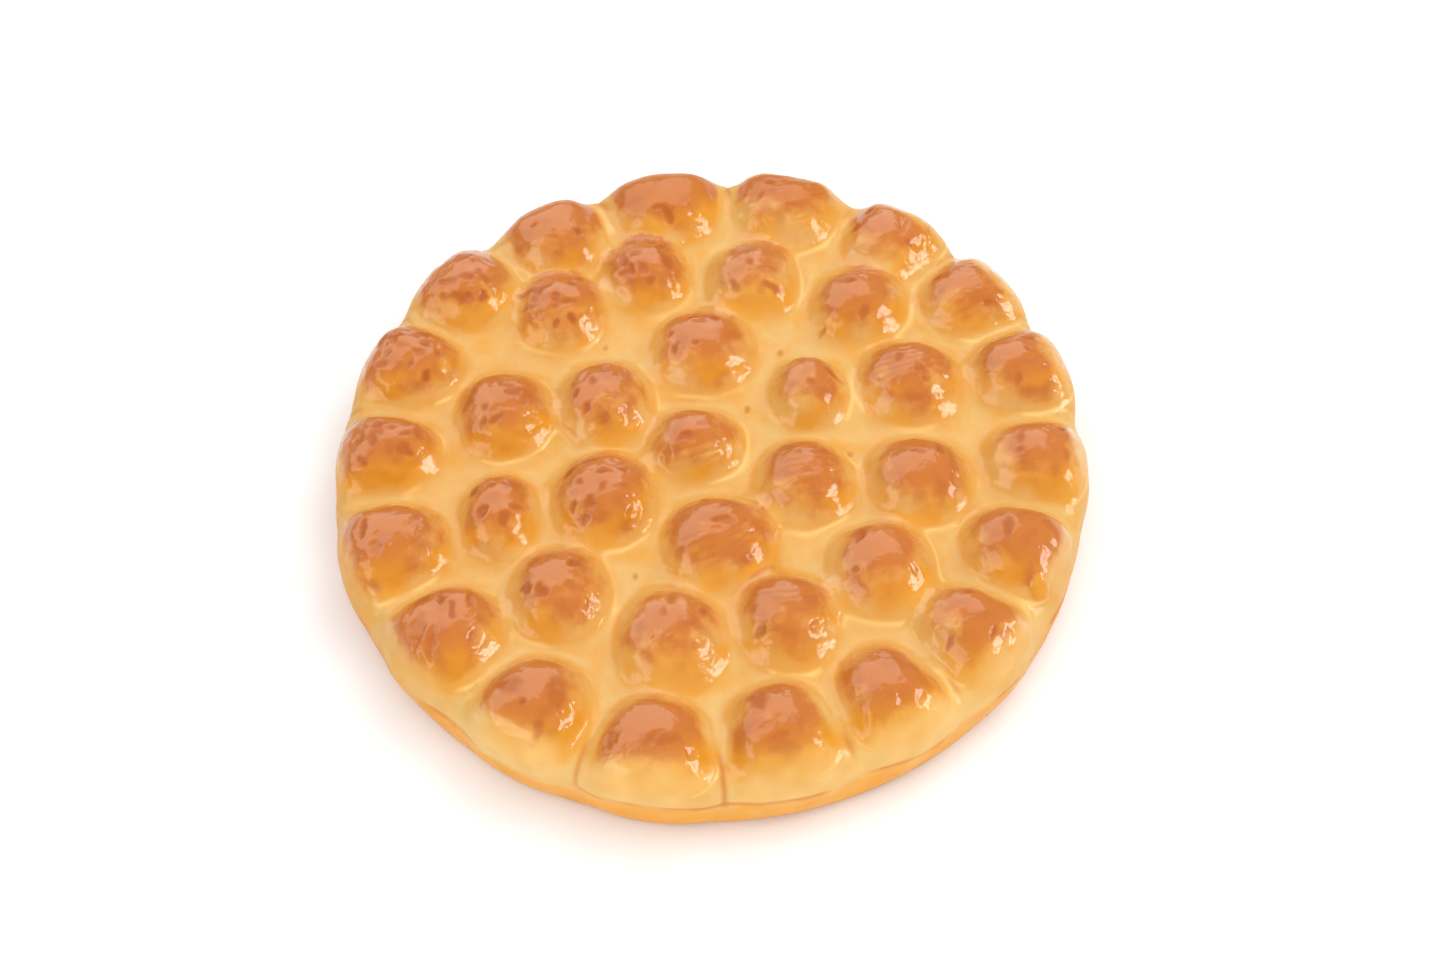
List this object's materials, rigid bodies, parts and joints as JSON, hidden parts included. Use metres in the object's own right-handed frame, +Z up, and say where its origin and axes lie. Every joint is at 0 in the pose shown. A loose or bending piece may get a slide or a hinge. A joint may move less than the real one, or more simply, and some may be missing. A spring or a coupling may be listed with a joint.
{
  "type": "honeycomb bread",
  "caption": "Round pull-apart loaf of small glazed domed buns baked side by side in a honeycomb pattern, with brown crowns, pale golden valleys and a flat base.",
  "frame": {"origin": "centre of the flat base, under the middle of the loaf", "axes": "+Z up through the crowns of the buns; +X to the right and +Y away from the viewer, as the loaf is seen from its front"},
  "size_m": [0.2544, 0.2578, 0.0393],
  "materials": {
    "glazed_crust": "syrup-glazed baked crust: reddish brown on the crowns, orange on the flanks and pale gold in the valleys and round the side"
  },
  "bodies": {
    "root": {"bread": "glazed_crust"}
  },
  "joints": []
}
